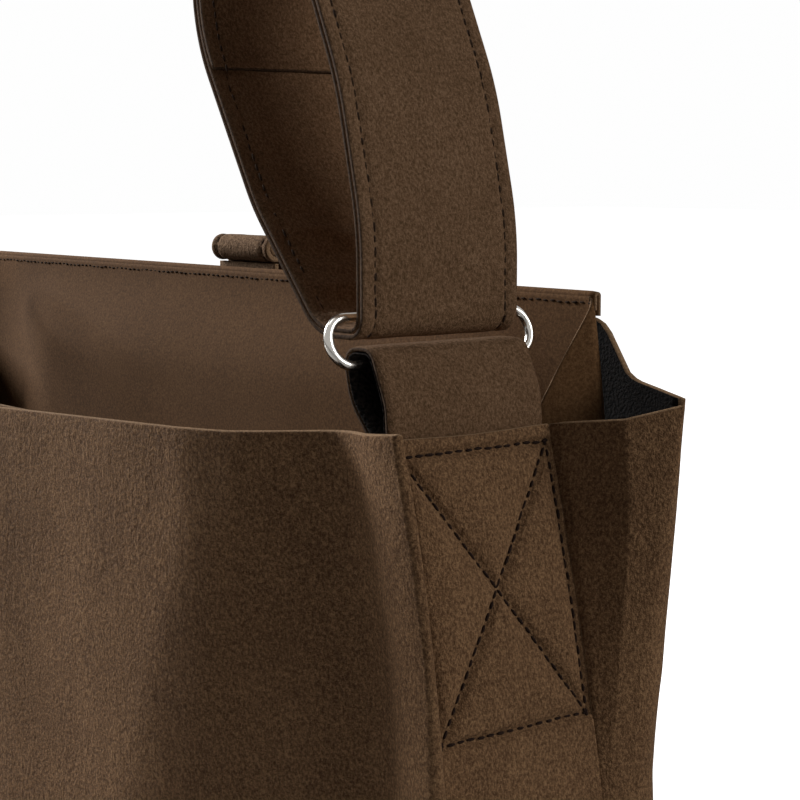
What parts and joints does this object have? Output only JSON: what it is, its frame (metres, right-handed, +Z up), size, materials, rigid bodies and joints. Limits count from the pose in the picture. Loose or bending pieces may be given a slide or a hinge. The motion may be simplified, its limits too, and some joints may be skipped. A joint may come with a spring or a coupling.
{
  "type": "garden tool bag",
  "caption": "Open-topped soft leather tote with folded-in ends, a taller back, ring tabs, an adjustable carrying strap and a strap that closes over the opening.",
  "frame": {"origin": "middle of the base's underside", "axes": "+X towards the right-hand end (the end with the slider), +Y towards the taller back, +Z up"},
  "size_m": [0.404, 0.1155, 0.4435],
  "materials": {
    "body_leather": "matt nubuck, fine crinkled grain",
    "lining_leather": "matt, smoother than the outside",
    "strap_leather": "matt nubuck, fine grain",
    "strap_backing_leather": "matt, dark cut edges",
    "black_textile": "coarse black weave",
    "stiffening_board": "plain",
    "nickel": "bright nickel plate"
  },
  "bodies": {
    "bag": {"front_panel": "body_leather", "back_panel": "body_leather", "right_end_strip": "body_leather", "left_end_strip": "body_leather", "base_panel": "body_leather", "base_board": "stiffening_board", "base_lining": "lining_leather", "front_lining": "lining_leather", "back_lining": "lining_leather", "right_end_lining": "lining_leather", "left_end_lining": "lining_leather", "right_tab_leather": "strap_leather", "right_tab_backing": "black_textile", "left_tab_leather": "strap_leather", "left_tab_backing": "black_textile", "closing_strap_tail": "strap_leather", "front_stud": "nickel", "front_stud_back": "nickel"},
    "right_ring": {"right_ring": "nickel"},
    "left_ring": {"left_ring": "nickel"},
    "carrying_strap": {"strap_leather": "strap_leather", "strap_backing": "strap_backing_leather"},
    "slider": {"slider": "nickel"},
    "closing_strap": {"closing_strap": "strap_leather", "closing_stud_cap": "nickel", "closing_stud_socket": "nickel"}
  },
  "joints": [
    {"name": "right_ring_swing", "type": "hinge", "parent": "bag", "child": "right_ring", "pos_m": [0.156, 0, 0.257], "axis": [0, 1, 0], "range_deg": [-20, 20]},
    {"name": "strap_on_right_ring", "type": "hinge", "parent": "right_ring", "child": "carrying_strap", "pos_m": [0.15229, 0, 0.26841], "axis": [0, 1, 0], "range_deg": [-21, 21]},
    {"name": "left_ring_swing", "type": "hinge", "parent": "bag", "child": "left_ring", "pos_m": [-0.156, 0, 0.257], "axis": [0, 1, 0], "range_deg": [-21, 21]},
    {"name": "slider_slide", "type": "slide", "parent": "carrying_strap", "child": "slider", "axis": [-0.7311, 0, 0.6823], "range_m": [-0.003, 0.003]},
    {"name": "closing_strap_fold", "type": "hinge", "parent": "bag", "child": "closing_strap", "pos_m": [0, 0.0491, 0.279], "axis": [1, 0, 0], "range_deg": [0, 270]}
  ],
  "couplings": [
    {"joint": "strap_on_right_ring", "follows": "right_ring_swing", "ratio": -1.0243},
    {"joint": "left_ring_swing", "follows": "right_ring_swing", "ratio": 1}
  ]
}
